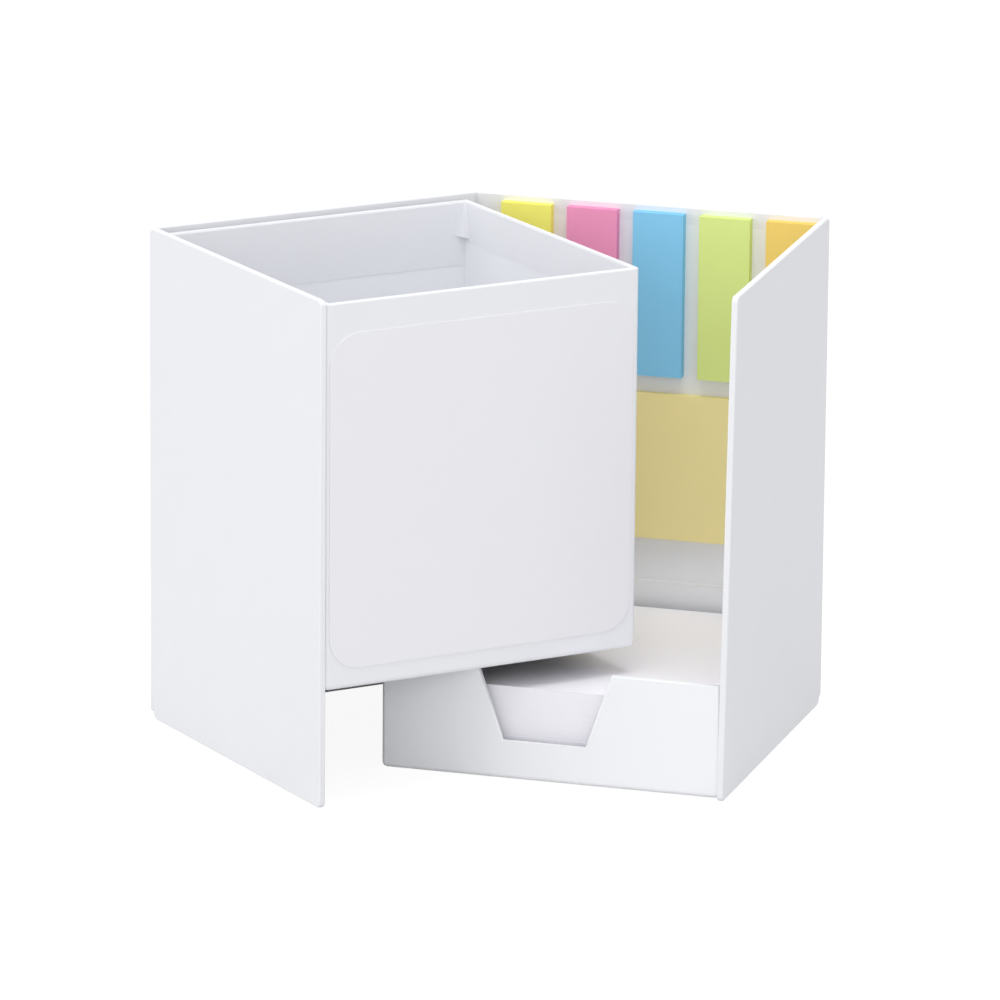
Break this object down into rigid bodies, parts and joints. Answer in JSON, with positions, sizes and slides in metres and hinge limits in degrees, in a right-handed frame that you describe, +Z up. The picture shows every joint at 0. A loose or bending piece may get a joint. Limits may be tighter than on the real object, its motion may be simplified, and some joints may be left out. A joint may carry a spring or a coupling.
{
  "type": "pen and notepad holder",
  "caption": "Folding desk cube of paper-wrapped board: a hinged door carries an open pen box over a low note tray, beside sticky flags and a memo pad on the back panel.",
  "frame": {"origin": "floor under the middle of the closed case's square footprint, on the tray's underside", "axes": "+Z up, +X along the back panel from the hinge to the right panel, -Y towards the tray's front"},
  "size_m": [0.1427, 0.1181, 0.115],
  "materials": {
    "white_paper": "matte",
    "grey_board": "matte",
    "lined_board": "matte",
    "note_paper": "matte",
    "film": "gloss",
    "flag_yellow": "matte",
    "flag_pink": "matte",
    "flag_blue": "matte",
    "flag_green": "matte",
    "flag_orange": "matte",
    "memo_yellow": "matte"
  },
  "bodies": {
    "base": {"back_board": "grey_board", "back_wrap": "white_paper", "back_lining": "white_paper", "right_board": "grey_board", "right_wrap": "white_paper", "right_lining": "white_paper", "corner_fold": "white_paper", "tray_floor_board": "grey_board", "tray_front_board": "grey_board", "tray_back_board": "grey_board", "tray_left_board": "grey_board", "tray_right_board": "grey_board", "tray_wrap": "white_paper", "tray_base_paper": "white_paper", "flags_yellow": "flag_yellow", "flags_pink": "flag_pink", "flags_blue": "flag_blue", "flags_green": "flag_green", "flags_orange": "flag_orange", "memo_pad": "memo_yellow"},
    "note_stack": {"note_sheets": "note_paper"},
    "side_panel": {"side_board": "grey_board", "side_wrap": "white_paper", "side_lining": "white_paper", "rear_hinge_fold": "white_paper"},
    "pen_unit": {"door_board": "grey_board", "door_wrap": "white_paper", "door_lining": "white_paper", "front_hinge_fold": "white_paper", "pen_box_floor_board": "lined_board", "pen_box_front_board": "lined_board", "pen_box_back_board": "lined_board", "pen_box_left_board": "lined_board", "pen_box_right_board": "lined_board", "pen_box_wrap": "white_paper", "pen_box_base_paper": "white_paper", "whiteboard_film": "film"}
  },
  "joints": [
    {"name": "case_hinge", "type": "hinge", "parent": "base", "child": "side_panel", "pos_m": [-0.04175, 0.04175, 0], "axis": [0, 0, -1], "range_deg": [-43.7, 46.3]},
    {"name": "door_hinge", "type": "hinge", "parent": "side_panel", "child": "pen_unit", "pos_m": [-0.09944, -0.01862, 0], "axis": [0, 0, -1], "range_deg": [0, 90]},
    {"name": "note_lift", "type": "slide", "parent": "base", "child": "note_stack", "axis": [0, 0, 1], "range_m": [0, 0.006]}
  ]
}
